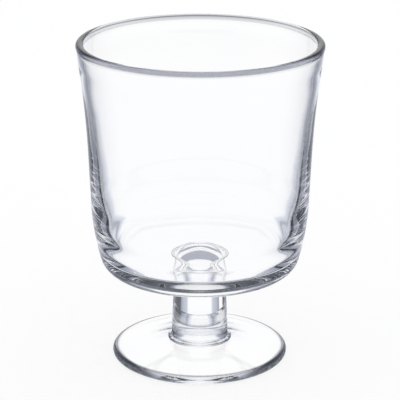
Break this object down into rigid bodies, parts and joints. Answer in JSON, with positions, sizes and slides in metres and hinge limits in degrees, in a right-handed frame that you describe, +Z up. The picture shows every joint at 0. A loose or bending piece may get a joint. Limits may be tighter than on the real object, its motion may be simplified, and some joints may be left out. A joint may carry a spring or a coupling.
{
  "type": "stemmed dessert glass",
  "caption": "Low-stemmed pressed-glass goblet: deep round bowl with rim bead and thick floor on a short solid stem, a thin collar and a shallow conical foot.",
  "frame": {"origin": "centre of the flat ring that the foot stands on, on the table", "axes": "+Z up along the axis of the bowl, stem and foot; the glass is round, so X and Y are free, and the picture is taken from the -Y side"},
  "size_m": [0.088, 0.088, 0.118],
  "materials": {
    "clear_glass": "fire-polished clear pressed glass"
  },
  "bodies": {
    "root": {"foot": "clear_glass", "collar": "clear_glass", "stem": "clear_glass", "bowl": "clear_glass"}
  },
  "joints": []
}
